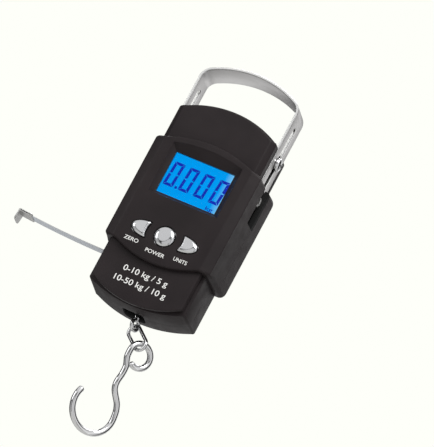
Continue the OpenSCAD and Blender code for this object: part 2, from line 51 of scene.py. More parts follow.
def P(x, y, z):
    """A point of the case layout, in millimetres, as a point of the frame, in metres."""
    return Vector((x, y - DEPTH0, z - GRIP_Z)) * MM


def linked(name, data):
    """A new object of the scene that holds the given data."""
    o = bpy.data.objects.new(name, data)
    bpy.context.scene.collection.objects.link(o)
    return o


def node(nt, kind, **inputs):
    """A new shader node, with inputs given as values or as sockets to link."""
    n = nt.nodes.new("ShaderNode" + kind)
    for key, value in inputs.items():
        socket = n.inputs[key.replace("_", " ")]
        if isinstance(value, bpy.types.NodeSocket):
            nt.links.new(value, socket)
        else:
            socket.default_value = value
    return n


# ---- camera and light

# the camera's own directions: up and right in its picture, and from the object back to the camera
UP, RIGHT, BACK = (-0.3637, -0.3990, 0.8417), (0.8792, 0.1516, 0.4518), (0.3078, -0.9043, -0.2956)
LOOKS_AT, DISTANCE, LENS = (20.55, 7.3, -0.93), 4.053, 600      # millimetres of the layout, metres, millimetres


def camera():
    right = Vector(RIGHT)
    back = right.cross(Vector(UP)).normalized()
    up = back.cross(right).normalized()
    data = bpy.data.cameras.new("camera")
    data.lens, data.sensor_width = LENS, 36
    data.clip_start, data.clip_end = 0.05, 50
    o = linked("camera", data)
    m = Matrix((right.normalized(), up, back)).transposed().to_4x4()
    m.translation = P(*LOOKS_AT) + back * DISTANCE
    o.matrix_world = m
    bpy.context.scene.camera = o


def area(name, place, size, watts):
    """A rectangular lamp that points at the middle of the scale."""
    data = bpy.data.lights.new(name, "AREA")
    data.shape, data.size, data.size_y = "RECTANGLE", size[0], size[1]
    data.energy = watts
    o = linked(name, data)
    o.location = place
    o.rotation_euler = (Vector((0, 0, -0.1)) - Vector(place)).to_track_quat("-Z", "Y").to_euler()


# the studio's soft boxes as the metal sees them: strength, then (direction, from, to) for each edge of a box
BOXES = [(0.70, [(BACK, 0.82, 0.90)]),
         (0.80, [(UP, 0.32, 0.44), (BACK, 0.80, 0.72), (BACK, -0.65, -0.35), (RIGHT, -0.58, -0.44)]),
         (0.85, [(RIGHT, 0.42, 0.52), (BACK, 0.25, 0.40), (BACK, 0.84, 0.78)]),
         (0.45, [(RIGHT, -0.60, -0.74), (BACK, -0.05, 0.15), (UP, 0.5, 0.35)]),
         (0.35, [(UP, -0.55, -0.70)]),
         (0.75, [(RIGHT, 0.30, 0.50), (BACK, -0.50, -0.70)]),
         (0.60, [(BACK, -0.60, -0.80), (UP, -0.25, -0.42)]),
         (0.10, [(BACK, -0.3, -0.7)])]
ROOM_LIGHT = 0.05


def studio():
    """A pale backdrop for the camera, and soft boxes that only light and reflections see."""
    bpy.context.scene.view_settings.view_transform = "Standard"
    world = bpy.data.worlds.new("studio")
    bpy.context.scene.world = world
    world.use_nodes = True
    nt = world.node_tree
    nt.nodes.clear()
    coord = node(nt, "TexCoord")

    def math_node(kind, a, b):
        n = node(nt, "Math")
        n.operation = kind
        for k, v in enumerate((a, b)):
            if isinstance(v, (int, float)):
                n.inputs[k].default_value = v
            else:
                nt.links.new(v, n.inputs[k])
        return n.outputs[0]

    def step(direction, low, high):
        d = node(nt, "VectorMath")
        d.operation = "DOT_PRODUCT"
        nt.links.new(coord.outputs["Generated"], d.inputs[0])
        d.inputs[1].default_value = direction
        r = node(nt, "MapRange", From_Min=low, From_Max=high, Value=d.outputs["Value"])
        r.interpolation_type = "SMOOTHSTEP"
        return r.outputs["Result"]

    total = ROOM_LIGHT
    for strength, edges in BOXES:
        lit = strength
        for edge in edges:
            lit = math_node("MULTIPLY", step(*edge), lit)
        total = math_node("ADD", lit, total)
    room = node(nt, "Background", Color=total)
    seen = node(nt, "Background", Color=(0.991, 1.0, 0.947, 1))
    mix = node(nt, "MixShader", Fac=node(nt, "LightPath").outputs["Is Camera Ray"])
    nt.links.new(room.outputs[0], mix.inputs[1])
    nt.links.new(seen.outputs[0], mix.inputs[2])
    node(nt, "OutputWorld", Surface=mix.outputs[0])
    area("key", (0.55, -0.85, 1.0), (0.8, 0.8), 12)
    area("fill", (-1.2, -0.9, 0.1), (0.6, 0.8), 4)
    area("top", (-0.25, 0.6, 1.2), (1.0, 0.6), 9)


# ---- materials

def shader(name, base, rough, metallic=0.0, **sockets):
    """A principled material. Returns its node tree and shader as well."""
    m = bpy.data.materials.new(name)
    m.use_nodes = True
    p = m.node_tree.nodes["Principled BSDF"]
    p.inputs["Base Color"].default_value = (*base, 1)
    p.inputs["Roughness"].default_value = rough
    p.inputs["Metallic"].default_value = metallic
    for key, value in sockets.items():
        p.inputs[key.replace("_", " ")].default_value = value
    m.diffuse_color = (*base, 1)
    return m, m.node_tree, p


def coords(nt, scale=(1, 1, 1), uv=False):
    source = node(nt, "TexCoord").outputs["UV" if uv else "Object"]
    return node(nt, "Mapping", Scale=scale, Vector=source).outputs["Vector"]


def noise(nt, vector, scale, detail=2.0, rough=0.5):
    return node(nt, "TexNoise", Scale=scale, Detail=detail, Roughness=rough, Vector=vector).outputs["Fac"]


def spread(nt, value, low, high, a=0.0, b=1.0):
    return node(nt, "MapRange", From_Min=a, From_Max=b, To_Min=low, To_Max=high, Value=value).outputs["Result"]


def colours(nt, value, first, second, at=(0.35, 0.65)):
    r = node(nt, "ValToRGB", Fac=value)
    e = r.color_ramp.elements
    e[0].position, e[0].color = at[0], (*first, 1)
    e[1].position, e[1].color = at[1], (*second, 1)
    return r.outputs["Color"]


def bump(nt, p, height, strength, distance):
    b = node(nt, "Bump", Strength=strength, Distance=distance, Height=height)
    nt.links.new(b.outputs["Normal"], p.inputs["Normal"])


def glow(nt, p, colour, strength=1.0):
    nt.links.new(colour, p.inputs["Emission Color"])
    p.inputs["Emission Strength"].default_value = strength


def paint(nt, p, value, first, second, at=(0.35, 0.65)):
    nt.links.new(colours(nt, value, first, second, at), p.inputs["Base Color"])


def plastic(name, base, second, rough, spec=0.5):
    """Moulded plastic with patches of gloss and a fine grain."""
    m, nt, p = shader(name, base, rough, Specular_IOR_Level=spec)
    v = coords(nt)
    big = noise(nt, v, 38, 3)
    paint(nt, p, big, base, second)
    nt.links.new(spread(nt, noise(nt, v, 160, 4), rough - 0.05, rough + 0.07, 0.3, 0.7), p.inputs["Roughness"])
    bump(nt, p, noise(nt, v, 4200, 2), 0.35, 0.00002)
    return m


def metal(name, base, rough, vary, stretch=(1, 1, 1), scale=900, grain=0.000004, uv=False, aniso=0.0):
    """Bare metal. Its roughness varies by vary along lines, which stretch draws out across one axis."""
    m, nt, p = shader(name, base, rough, 1.0, Anisotropic=aniso)
    v = coords(nt, stretch, uv)
    lines = noise(nt, v, scale, 3, 0.6)
    nt.links.new(spread(nt, lines, rough - vary, rough + vary, 0.3, 0.7), p.inputs["Roughness"])
    soft = noise(nt, coords(nt), 60, 2)
    paint(nt, p, soft, tuple(0.9 * c for c in base), base)
    if grain:
        bump(nt, p, lines, 0.3, grain)
    return m


# key, name, two colours, roughness and (where it isn't 0.5) specular level
PLASTICS = [
    ("case", "black_abs", (0.0168, 0.0128, 0.0136), (0.0225, 0.0172, 0.0182), 0.45, 0.17),
    # the case's cut inside faces, slots and channels: a darker black than the case, painted shade
    ("inner", "black_inner_painted_shade", (0.005, 0.005, 0.005), (0.008, 0.008, 0.008), 0.6, 0.2),
    # the screws' cross recesses: a near-black non-metal, painted shade
    ("hole", "painted_shade_recess", (0.006, 0.006, 0.006), (0.009, 0.009, 0.009), 0.6),
    ("diffuser", "diffuser", (0.72, 0.78, 0.84), (0.8, 0.84, 0.88), 0.5),
    ("resin", "resin", (0.01, 0.01, 0.01), (0.02, 0.02, 0.02), 0.22),
    ("gauge", "gauge_film", (0.5, 0.24, 0.06), (0.58, 0.3, 0.09), 0.35),
    ("tape_top", "tape_white", (0.72, 0.71, 0.66), (0.80, 0.79, 0.74), 0.38),
    ("tape_back", "tape_back", (0.62, 0.66, 0.72), (0.66, 0.70, 0.76), 0.36),
    ("tick", "tape_black", (0.02, 0.02, 0.022), (0.03, 0.03, 0.03), 0.5),
    ("red", "tape_red", (0.46, 0.05, 0.03), (0.52, 0.07, 0.04), 0.5),
    ("spool", "acetal", (0.74, 0.69, 0.55), (0.8, 0.75, 0.62), 0.45),
    ("wrap", "cell_wrap", (0.05, 0.12, 0.28), (0.07, 0.15, 0.33), 0.25),
    ("red_wire", "red_lead", (0.42, 0.02, 0.015), (0.5, 0.03, 0.02), 0.4),
    ("green_wire", "green_lead", (0.03, 0.28, 0.1), (0.05, 0.34, 0.13), 0.4),
]


def make_materials():
    M = {key: plastic(*look) for key, *look in PLASTICS}
    M["strap"] = metal("brushed_strap", (0.66, 0.65, 0.645), 0.32, 0.06, (1.2, 90, 1), 60, 0.000001,
                       uv=True, aniso=0.35)
    M["edge"] = metal("strap_edge", (0.88, 0.88, 0.87), 0.20, 0.04, (1, 1, 1), 200, 0.0)
    M["chrome"] = metal("polished_chrome", (0.74, 0.74, 0.745), 0.07, 0.02, (1, 1, 1), 300, 0.0)
    M["key"] = metal("key_chrome", (0.70, 0.705, 0.72), 0.13, 0.03, (1, 1, 1), 300, 0.0)
    M["tin"] = metal("zinc_plate", (0.66, 0.655, 0.64), 0.24, 0.06, (1, 1, 1), 500, 0.0000005)
    M["steel"] = metal("plain_steel", (0.56, 0.56, 0.55), 0.42, 0.05, (1, 1, 12), 300, 0.0000005)
    M["alloy"] = metal("milled_alloy", (0.62, 0.63, 0.64), 0.32, 0.08, (1, 40, 1), 240, 0.000004)
    M["spring"] = metal("spring_steel", (0.22, 0.24, 0.28), 0.35, 0.06, (1, 30, 1), 200)

    m, nt, p = shader("lens", (1, 1, 1), 0.03, Transmission_Weight=1.0, IOR=1.07)
    nt.links.new(spread(nt, noise(nt, coords(nt), 300, 2), 0.0, 0.05), p.inputs["Roughness"])
    M["lens"] = m

    m, nt, p = shader("lcd_lit", (0.0, 0.02, 0.06), 0.5, Specular_IOR_Level=0.0)
    sep = node(nt, "SeparateXYZ", Vector=coords(nt))
    soft = noise(nt, coords(nt), 55, 1)
    tilt = node(nt, "Math")
    tilt.operation = "MULTIPLY_ADD"
    nt.links.new(soft, tilt.inputs[0])
    tilt.inputs[1].default_value = 0.006
    nt.links.new(sep.outputs["X"], tilt.inputs[2])
    paler = spread(nt, tilt.outputs[0], 0.0, 1.0, 0.0170, 0.0235)      # toward the right edge
    glow(nt, p, colours(nt, paler, (0.0, 0.31, 0.82), (0.25, 0.60, 0.80), (0, 1)))
    M["lcd"] = m

    m, nt, p = shader("lcd_segment", (0.002, 0.005, 0.05), 0.5, Specular_IOR_Level=0.0)
    glow(nt, p, colours(nt, noise(nt, coords(nt), 90), (0.006, 0.020, 0.36), (0.008, 0.026, 0.42)))
    M["segment"] = m

    m, nt, p = shader("white_ink", (0.92, 0.92, 0.89), 0.5)
    paint(nt, p, noise(nt, coords(nt), 900), (0.86, 0.86, 0.83), (0.95, 0.95, 0.92))
    M["ink"] = m
    m, nt, p = shader("led", (0.8, 0.92, 1.0), 0.3)
    glow(nt, p, colours(nt, noise(nt, coords(nt), 90), (0.6, 0.85, 1.0), (0.8, 0.95, 1.0)), 2.0)
    M["led"] = m

    m, nt, p = shader("striped_rubber", (0.7, 0.45, 0.5), 0.7)
    w = node(nt, "TexWave", Scale=900, Vector=coords(nt))
    paint(nt, p, w.outputs["Fac"], (0.04, 0.04, 0.045), (0.75, 0.5, 0.54))
    M["zebra"] = m

    m, nt, p = shader("solder_mask", (0.01, 0.12, 0.05), 0.3, Coat_Weight=0.3)
    v = node(nt, "TexVoronoi", Scale=260, Vector=coords(nt))
    v.distance = "MANHATTAN"
    paint(nt, p, v.outputs["Distance"], (0.012, 0.15, 0.06), (0.02, 0.22, 0.09), (0.3, 0.34))
    M["board"] = m
    m, nt, p = shader("board_parts", (0.4, 0.3, 0.2), 0.45)
    v = node(nt, "TexVoronoi", Scale=160, Vector=coords(nt))
    paint(nt, p, v.outputs["Color"], (0.03, 0.03, 0.03), (0.72, 0.6, 0.42), (0, 1))
    M["parts"] = m
    return M


# ---- mesh helpers

def add_mesh(name, verts, faces, materials, smooth=32, uvs=None, picks=None):
    """A mesh object. uvs holds a point for each vertex, and picks the number of each face's material."""
    me = bpy.data.meshes.new(name)
    me.from_pydata([tuple(v) for v in verts], [], faces)
    me.validate()
    if uvs:
        layer = me.uv_layers.new(name="UVMap")
        for loop in me.loops:
            layer.data[loop.index].uv = uvs[loop.vertex_index]
    o = linked(name, me)
    for m in materials if isinstance(materials, (list, tuple)) else [materials]:
        me.materials.append(m)
    if picks:
        for f, k in zip(me.polygons, picks):
            f.material_index = k
    finish_shading(o, smooth)
    return o


def finish_shading(o, angle):
    """Turns the faces outward and shades them smooth, except across edges sharper than angle."""
    bm = bmesh.new()
    bm.from_mesh(o.data)
    bmesh.ops.recalc_face_normals(bm, faces=bm.faces)
    bm.to_mesh(o.data)
    bm.free()
    for f in o.data.polygons:
        f.use_smooth = True
    o.data.set_sharp_from_angle(angle=math.radians(angle))


def loft(name, rings, materials, smooth=32, closed=False):
    """Joins rings of the same length into a tube, with a face at each end or closed round."""
    n = len(rings[0])
    verts = [v for ring in rings for v in ring]
    faces = []
    last = len(rings) if closed else len(rings) - 1
    for i in range(last):
        a, b = i * n, ((i + 1) % len(rings)) * n
        for k in range(n):
            j = (k + 1) % n
            faces.append((a + k, a + j, b + j, b + k))
    if not closed:
        faces.append(tuple(range(n - 1, -1, -1)))
        faces.append(tuple(range((len(rings) - 1) * n, len(rings) * n)))
    return add_mesh(name, verts, faces, materials, smooth)


def join(name, objects):
    """One piece from several closed ones that keep their materials."""
    bpy.ops.object.select_all(action="DESELECT")
    for o in objects:
        o.select_set(True)
    bpy.context.view_layer.objects.active = objects[0]
    bpy.ops.object.join()
    o = objects[0]
    o.name = name
    o.data.name = name
    return o


def cut(o, tools, op="DIFFERENCE", smooth=32):
    """Takes the tools from a piece, or adds them to it. Each cut face keeps its tool's material."""
    for t in tools if isinstance(tools, list) else [tools]:
        m = o.modifiers.new("cut", "BOOLEAN")
        m.operation, m.object, m.solver, m.material_mode = op, t, "EXACT", "TRANSFER"
        bpy.context.view_layer.objects.active = o
        bpy.ops.object.modifier_apply(modifier=m.name)
        bpy.data.objects.remove(t)
    finish_shading(o, smooth)
    return o


def soften(o, width):
    """Rounds the sharp edges of a piece."""
    bm = bmesh.new()
    bm.from_mesh(o.data)
    bmesh.ops.remove_doubles(bm, verts=bm.verts, dist=0.00002)
    bmesh.ops.dissolve_limit(bm, angle_limit=math.radians(0.6), verts=bm.verts, edges=bm.edges)
    sharp = [e for e in bm.edges if len(e.link_faces) == 2 and e.calc_face_angle(0) > math.radians(35)]
    bmesh.ops.bevel(bm, geom=sharp, offset=width, segments=2, profile=0.5, affect="EDGES", clamp_overlap=True)
    bm.to_mesh(o.data)
    bm.free()
    finish_shading(o, 38)
    return o


def block(low, high, material, bevel=0.0):
    """A box between two corners of the case layout, with rounded edges."""
    (x0, y0, z0), (x1, y1, z1) = low, high
    v = [P(x, y, z) for x in (x0, x1) for y in (y0, y1) for z in (z0, z1)]
    f = [(0, 1, 3, 2), (4, 6, 7, 5), (0, 4, 5, 1), (2, 3, 7, 6), (0, 2, 6, 4), (1, 5, 7, 3)]
    o = add_mesh("block", v, f, material)
    if bevel:
        soften(o, bevel * MM)
    return o


def turns(sides):
    return [2 * math.pi * k / sides for k in range(sides)]


def turned(profile, place, axis, material, sides=64, name="turned", smooth=32):
    """A lathe shape round an axis through place. profile holds (radius, distance along the axis)."""
    axis = Vector(axis).normalized()
    side = axis.orthogonal().normalized()
    other = axis.cross(side)
    round_it = [side * math.cos(a) + other * math.sin(a) for a in turns(sides)]
    rings = [[place + axis * (h * MM) + v * (max(r, 0.001) * MM) for v in round_it] for r, h in profile]
    return loft(name, rings, material, smooth)


def offset(outline, d):
    """Moves each point of a flat anticlockwise outline outward by d."""
    n, out = len(outline), []
    for i in range(n):
        a, b, c = Vector(outline[i - 1]), Vector(outline[i]), Vector(outline[(i + 1) % n])
        u, v = (b - a), (c - b)
        if u.length < 1e-9 or v.length < 1e-9:
            u = v = (c - a)
        nu, nv = Vector((u.y, -u.x)).normalized(), Vector((v.y, -v.x)).normalized()
        m = nu + nv
        m = m / max(m.length_squared / 2, 0.35)
        out.append((b.x + m.x * d, b.y + m.y * d))
    return out


def facing(outline, profile, name, material, smooth=32):
    """A plate whose outline lies in x and z. profile holds (depth, outward offset)."""
    return loft(name, [[P(x, y, z) for x, z in offset(outline, d)] for y, d in profile], material, smooth)


def sweep(path, radii, sides, material, name, closed=False, normal=(0, 1, 0)):
    """A round wire along points that are already in the frame, with a radius for each."""
    n = len(path)
    rings, normal = [], Vector(normal)
    for i, p in enumerate(path):
        if closed:
            t = (path[(i + 1) % n] - path[i - 1]).normalized()
        else:
            t = (path[min(i + 1, n - 1)] - path[max(i - 1, 0)]).normalized()
        normal = (normal - t * normal.dot(t)).normalized()
        other = t.cross(normal)
        rings.append([p + (normal * math.cos(a) + other * math.sin(a)) * radii[i] for a in turns(sides)])
    return loft(name, rings, material, 60, closed)


def arc(cx, cy, r, a0, a1, n):
    """The n + 1 points of an arc between two angles in degrees."""
    return [(cx + r * math.cos(math.radians(a0 + (a1 - a0) * i / n)),
             cy + r * math.sin(math.radians(a0 + (a1 - a0) * i / n))) for i in range(n + 1)]


def table(pairs, x):
    """The value at x on a line through the (x, value) pairs, held at both ends."""
    if x <= pairs[0][0]:
        return pairs[0][1]
    for (a, va), (b, vb) in zip(pairs, pairs[1:]):
        if x <= b:
            return va + (vb - va) * (x - a) / (b - a)
    return pairs[-1][1]


def over(a, k):
    """Nearly max(a, 0), with a soft corner k wide."""
    return 0.5 * (a + math.sqrt(a * a + k * k))


def ride(o, body, slot, *nodes):
    """Hands a piece to a body and hides the CAD nodes that it stands for. slot is not used."""
    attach(o, body)
    if nodes:
        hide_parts(*nodes)
    return o


# ---- case

# (depth, inset) of the case's rounded edges: radius 1 at the front, and a slower one at the back
FRONT_EDGE = [(1 - math.cos(math.radians(a)), 1 - math.sin(math.radians(a))) for a in (0, 22.5, 45, 67.5, 90)]
BACK_EDGE = [(31.2, 0), (32.0, 0.1), (32.5, 0.35), (32.85, 0.8), (33, 1.25)]
# (depth, half width) of the wide middle, the upper part and the lower part of the case
MID_HALF = [(0, 26.55), (0.05, 26.8), (0.18, 27.2), (2.25, 31.85), (2.5, 32.3), (2.8, 32.55), (31.2, 35.5), (33, 35.65)]
TOP_HALF = [(2.75, 27.0), (6, 30.0), (31, 30.8), (33, 30.8)]
LOW_HALF = [(2.75, 27.5), (5.2, 28.2), (5.25, 28.2), (6.7, 28.4), (6.75, 29.6), (31, 30.8), (33, 30.8)]
SCREW_PLACES = ((-13, 55), (13, 55), (-22, -49), (22, -49))
VIEW_Z = 14.4                         # the middle of the display
KEY_X, KEY_Z = 15, -21.7              # the side keys' distance from the middle one, and the keys' height
KEY_HOLE = [(-1.2, 1.12), (-0.02, 0.22), (0.05, 0.11), (0.2, 0), (7, 0)]
STRAP_Y, RIVET_Z, SCREW_Z, TRAVEL = 20, 23.5, 47.5, 12
SPLIT_Y = 21.5                        # where the front and rear covers meet
INTO = (0, 1, 0)                      # from the face to the back


def sag(r, x):
    """How far an arch of radius r has dropped at x from its middle."""
    return r - math.sqrt(r * r - x * x)


def mid_ring(y, inset):
    """The wide middle's outline at depth y: flat ends that swell into an arch, and rounded corners."""
    w = table(MID_HALF, y)
    r = table([(0, 1.1), (2.5, 2.2), (9, 3.0)], y)

    def top(x):
        return 32 + over(5.5 - sag(71, x), 0.5) - inset

    def low(x):
        return -32 - over(6.5 - sag(53.5, x), 0.9) + inset

    inner = w - r
    xs = [inner - 2 * inner * i / 56 for i in range(57)]
    ring = [(x, top(x)) for x in xs]
    ring += arc(-inner, top(inner) - r, r, 90, 180, 7)[1:]
    ring += arc(-inner, low(inner) + r, r, 180, 270, 7)
    ring += [(-x, low(x)) for x in xs[1:]]
    ring += arc(inner, low(inner) + r, r, 270, 360, 7)[1:]
    ring += arc(inner, top(inner) - r, r, 0, 90, 7)[:-1]
    return [P(x, y, z) for x, z in ring]


def arch_ring(y, half, apex, r_arch, end, inset, corner, flip=1):
    """An outline at depth y whose far end is an arch. flip -1 puts the arch at the bottom."""
    half -= inset
    r_arch -= inset
    apex -= inset
    span = half - corner
    pts = [(x, apex - sag(r_arch, x)) for x in (span - 2 * span * i / 60 for i in range(61))]
    slope = math.asin(span / r_arch)
    cx, cz = corner * math.sin(slope) - span, pts[-1][1] - corner * math.cos(slope)
    n, a0 = 6, math.pi / 2 + slope
    turn = [a0 + (math.pi - a0) * i / n for i in range(1, n + 1)]
    left = [(cx + (half + cx) * math.cos(a), cz + corner * math.sin(a)) for a in turn]
    ring = pts + left + [(-half, end), (half, end)] + [(-x, z) for x, z in reversed(left)]
    if flip < 0:
        ring = [(-x, -z) for x, z in ring]
    return [P(x, y, z) for x, z in ring]


def case_stock(M):
    """The solid block of the case: the wide middle and the narrower upper and lower parts."""
    steps = FRONT_EDGE + [(2.25, 0), (2.5, 0), (2.8, 0), (9, 0), (20, 0)] + BACK_EDGE
    mid = loft("mid", [mid_ring(y, d) for y, d in steps], M["case"])

    rings = []
    for y, d in [(2.75, 0.5), (2.8, 0.3), (2.95, 0.12), (3.25, 0.0), (6, 0)] + BACK_EDGE:
        apex, radius = table([(2.75, 60.0), (6, 61.5)], y), table([(2.75, 57.7), (6, 59.2)], y)
        rings.append(arch_ring(y, table(TOP_HALF, y), apex, radius, 20, d, 1.6))
    top = loft("top", rings, M["case"])

    rings = []
    for y, d in [(2.75, 0.35), (2.79, 0.17), (2.92, 0.04), (3.1, 0.0), (5.0, 0), (5.15, 0.08), (5.2, 0.2)]:
        rings.append(arch_ring(y, table(LOW_HALF, y), 63.2, 53.5, 20, d, 1.0, -1))
    for y in (5.22, 6.6):             # the groove between the raised face and the skirt
        rings.append(arch_ring(y, table(LOW_HALF, 5.2), 63.0, 54.5, 20, 1.25, 1.0, -1))
    for y, d in [(6.65, 0.3), (6.75, 0.1), (7.0, 0.0), (20, 0)] + BACK_EDGE:
        rings.append(arch_ring(y, table(LOW_HALF, max(y, 6.75)), 63.3, 73, 20, d, 1.6, -1))
    low = loft("low", rings, M["case"])
    return cut(mid, [top, low], "UNION")


def rounded_box(x0, x1, z0, z1, r, n=5):
    """An anticlockwise outline with rounded corners."""
    return (arc(x1 - r, z1 - r, r, 0, 90, n) + arc(x0 + r, z1 - r, r, 90, 180, n)
            + arc(x0 + r, z0 + r, r, 180, 270, n) + arc(x1 - r, z0 + r, r, 270, 360, n))


def ccw(outline):
    s = sum(a[0] * b[1] - b[0] * a[1] for a, b in zip(outline, outline[1:] + outline[:1]))
    return outline if s > 0 else outline[::-1]


def recess_ring(y, grow, half, low, top, arch=None):
    """One outline of the display's recess: half its width, its ends, and the radius if its top is an arch."""
    half, low, n = half + grow, low - grow, 20

    def roof(x):
        return top + grow - (sag(arch, x) if arch else 0)

    pts = [(-half + 2 * half * i / n, low) for i in range(n)]
    pts += [(half, low + (roof(half) - low) * i / n) for i in range(n)]
    pts += [(x, roof(x)) for x in (half - 2 * half * i / n for i in range(n))]
    pts += [(-half, roof(half) - (roof(half) - low) * i / n) for i in range(n)]
    return [P(x, y, z) for x, z in pts]


def recess(M):
    """The display's recess: a rounded mouth, sloping sides, and a small window through the case."""
    rings = [recess_ring(y, g, 21.3, -0.6, 33.5, 82)
             for y, g in ((-1.5, 1.6), (-0.02, 0.16), (0.04, 0.06), (0.14, 0.0))]
    rings += [recess_ring(y, g, 18.1, VIEW_Z - 12.6, VIEW_Z + 12.6)
              for y, g in ((2.62, 0.42), (2.7, 0.30), (2.74, 0.14), (2.85, 0.0), (8, 0.0))]
    return loft("recess", rings, M["case"], 20)


def evened(before, pts, after):
    """Each point moved toward the mean of its two neighbours."""
    return [((p[0] + 2 * q[0] + r[0]) / 4, (p[1] + 2 * q[1] + r[1]) / 4) for p, q, r in zip(before, pts, after)]


def side_key(grow, tip=1.0, hollow=1.0):
    """Outline of the left key round its own middle: half an ellipse, hollowed round the middle key."""
    a, b, ring = 9.9 + grow * tip, 4.9 + grow, 10.9 - grow * hollow
    low, high = math.radians(80), math.radians(150)
    for _ in range(40):
        mid = (low + high) / 2
        far = math.hypot(KEY_X - 4.6 + a * math.cos(mid), b * math.sin(mid)) > ring
        low, high = (mid, high) if far else (low, mid)
    pts = [(4.6 - a * math.cos(t), b * math.sin(t)) for t in (-low + 2 * low * i / 48 for i in range(49))]
    turn = math.asin(b * math.sin(low) / ring)
    pts += [(KEY_X - ring * math.cos(t), ring * math.sin(t)) for t in (turn - 2 * turn * i / 20 for i in range(1, 20))]
    for _ in range(3):                # rounds the corners a little
        pts = evened(pts[-1:] + pts, pts, pts[1:] + pts[:1])
    return ccw(pts)


def place(outline, x, mirror=False):
    """A key's outline at its place on the face."""
    return ccw([((-a if mirror else a) + x, b + KEY_Z) for a, b in outline])


def bowed(half, apex, r, low):
    """An outline with an arch at one end and a straight side at the other."""
    xs = [half - 2 * half * i / 24 for i in range(25)]
    sign = 1 if apex > 0 else -1
    return ccw([(x, apex - sign * sag(r, x)) for x in xs] + [(-half, low), (half, low)])


def cavity(M):
    """Tools that hollow the case."""
    deep = [(4.75, 0), (31, 0)]
    # the tools carry the darker inner black onto the cut faces: painted shade inside the case
    return [facing(bowed(27.2, 59.5, 57.2, 20), deep, "upper", M["inner"]),
            facing(bowed(26.5, -60.7, 51.0, -20), deep, "lower", M["inner"]),
            block((-27.2, 2, -30.3), (27.2, 31, 30.3), M["inner"]), block((-31, 4.5, -30.1), (31, 30.9, 4), M["inner"])]


def upright_slot(r, low, high, n=12):
    """The (y, z) outline of a slot with round ends in the strap's middle plane."""
    return arc(STRAP_Y, high, r, 0, 180, n) + arc(STRAP_Y, low, r, 180, 360, n)


def strap_space(M):
    """Tools for each side: the strap's channel, the side window, the rivet's slot and the screw's hole."""
    tools = []
    # each tool carries the darker inner black onto its cut faces: painted shade in the channel, window and slots
    for s in (-1, 1):
        for z0, x1 in ((6.9, 30.9), (31.99, 40)):
            lo, hi = sorted((s * 28.7, s * x1))
            tools.append(block((lo, 10.25, z0), (hi, 29.75, 70), M["inner"]))
        window = rounded_box(13.6, 23.5, 8, 60, 0.7, 4)
        rings = []
        for x, g in ((30.7, 0), (33.6, 0), (34.2, 0.12), (40, 4.0)):
            rings.append([P(s * x, y, z) for y, z in offset(window, g)])
        tools.append(loft("window", rings, M["inner"]))
        slot = upright_slot(1.8, RIVET_Z - TRAVEL - 0.1, RIVET_Z + 0.1)
        tools.append(loft("slot", [[P(s * x, y, z) for y, z in slot] for x in (26, 29.7)], M["inner"]))
        tools.append(turned([(1.8, -3), (1.8, 12)], P(s * 29, STRAP_Y, SCREW_Z), (s, 0, 0), M["inner"], 32))
    return tools


def eye_hole(M):
    """The flared hole in the bottom of the case that the eye hangs through."""
    # the hole's cut faces take the darker inner black: painted shade
    hole = rounded_box(-7.8, 4.4, 17, 27, 2.0)
    steps = ((-80, 6), (-63.3, 0.9), (-62.9, 0.5), (-62.2, 0.1), (-61.5, 0), (-54.8, 0))
    return loft("eye_hole", [[P(x, y, z) for x, y in offset(hole, g)] for z, g in steps], M["inner"])


